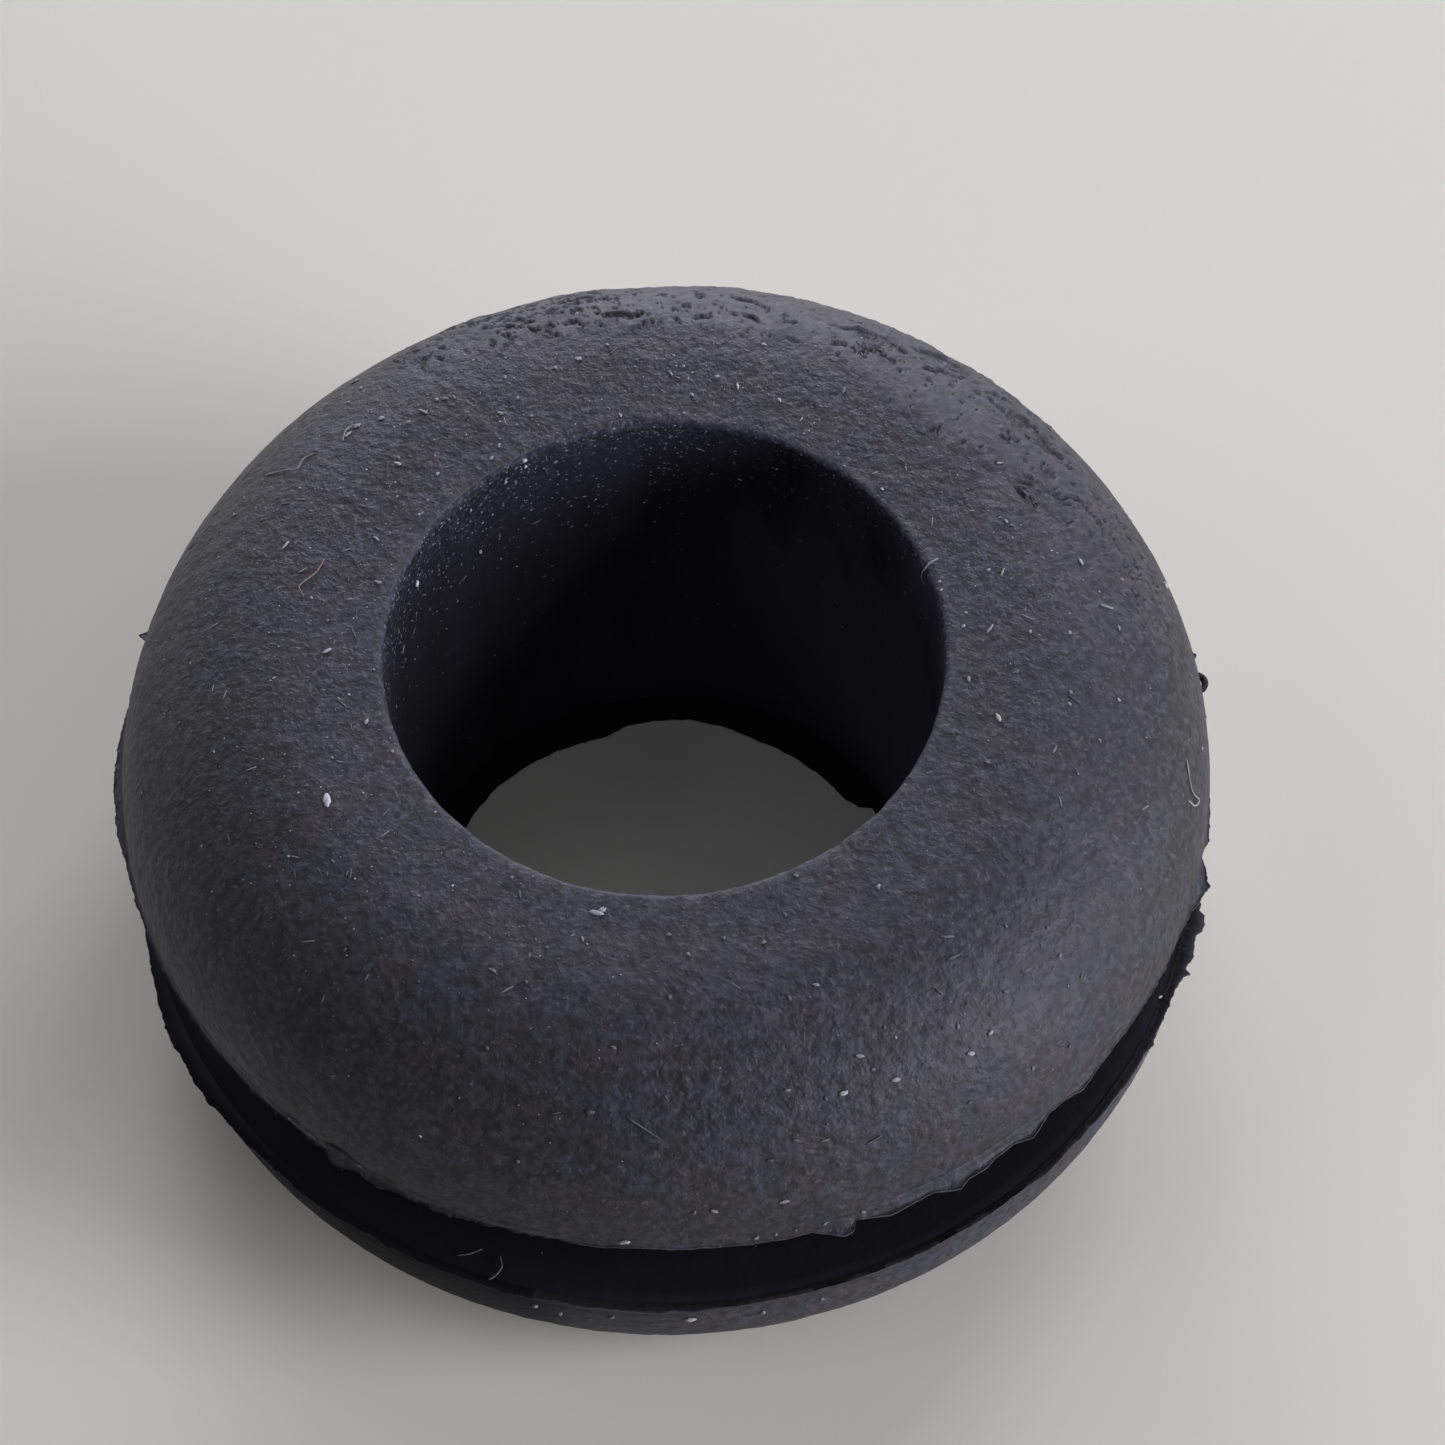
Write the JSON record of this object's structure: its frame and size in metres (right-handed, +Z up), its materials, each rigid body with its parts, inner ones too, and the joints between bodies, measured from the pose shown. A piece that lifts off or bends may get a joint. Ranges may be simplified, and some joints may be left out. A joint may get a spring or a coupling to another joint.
{
  "type": "rubber grommet",
  "caption": "Black moulded rubber grommet: a round-shouldered ring with a flange at each end, a groove between them for a panel edge, and a straight bore for a cable.",
  "frame": {"origin": "centre of the lower face, on the bore axis, so the part stands on the plane z = 0", "axes": "+Z up the bore, from the lower flange to the upper flange; X and Y are free because the part is round"},
  "size_m": [0.0254, 0.0254, 0.0122],
  "materials": {
    "black_rubber": "satin black, slightly dusty, with a fine moulded grain"
  },
  "bodies": {
    "root": {"grommet": "black_rubber"}
  },
  "joints": []
}
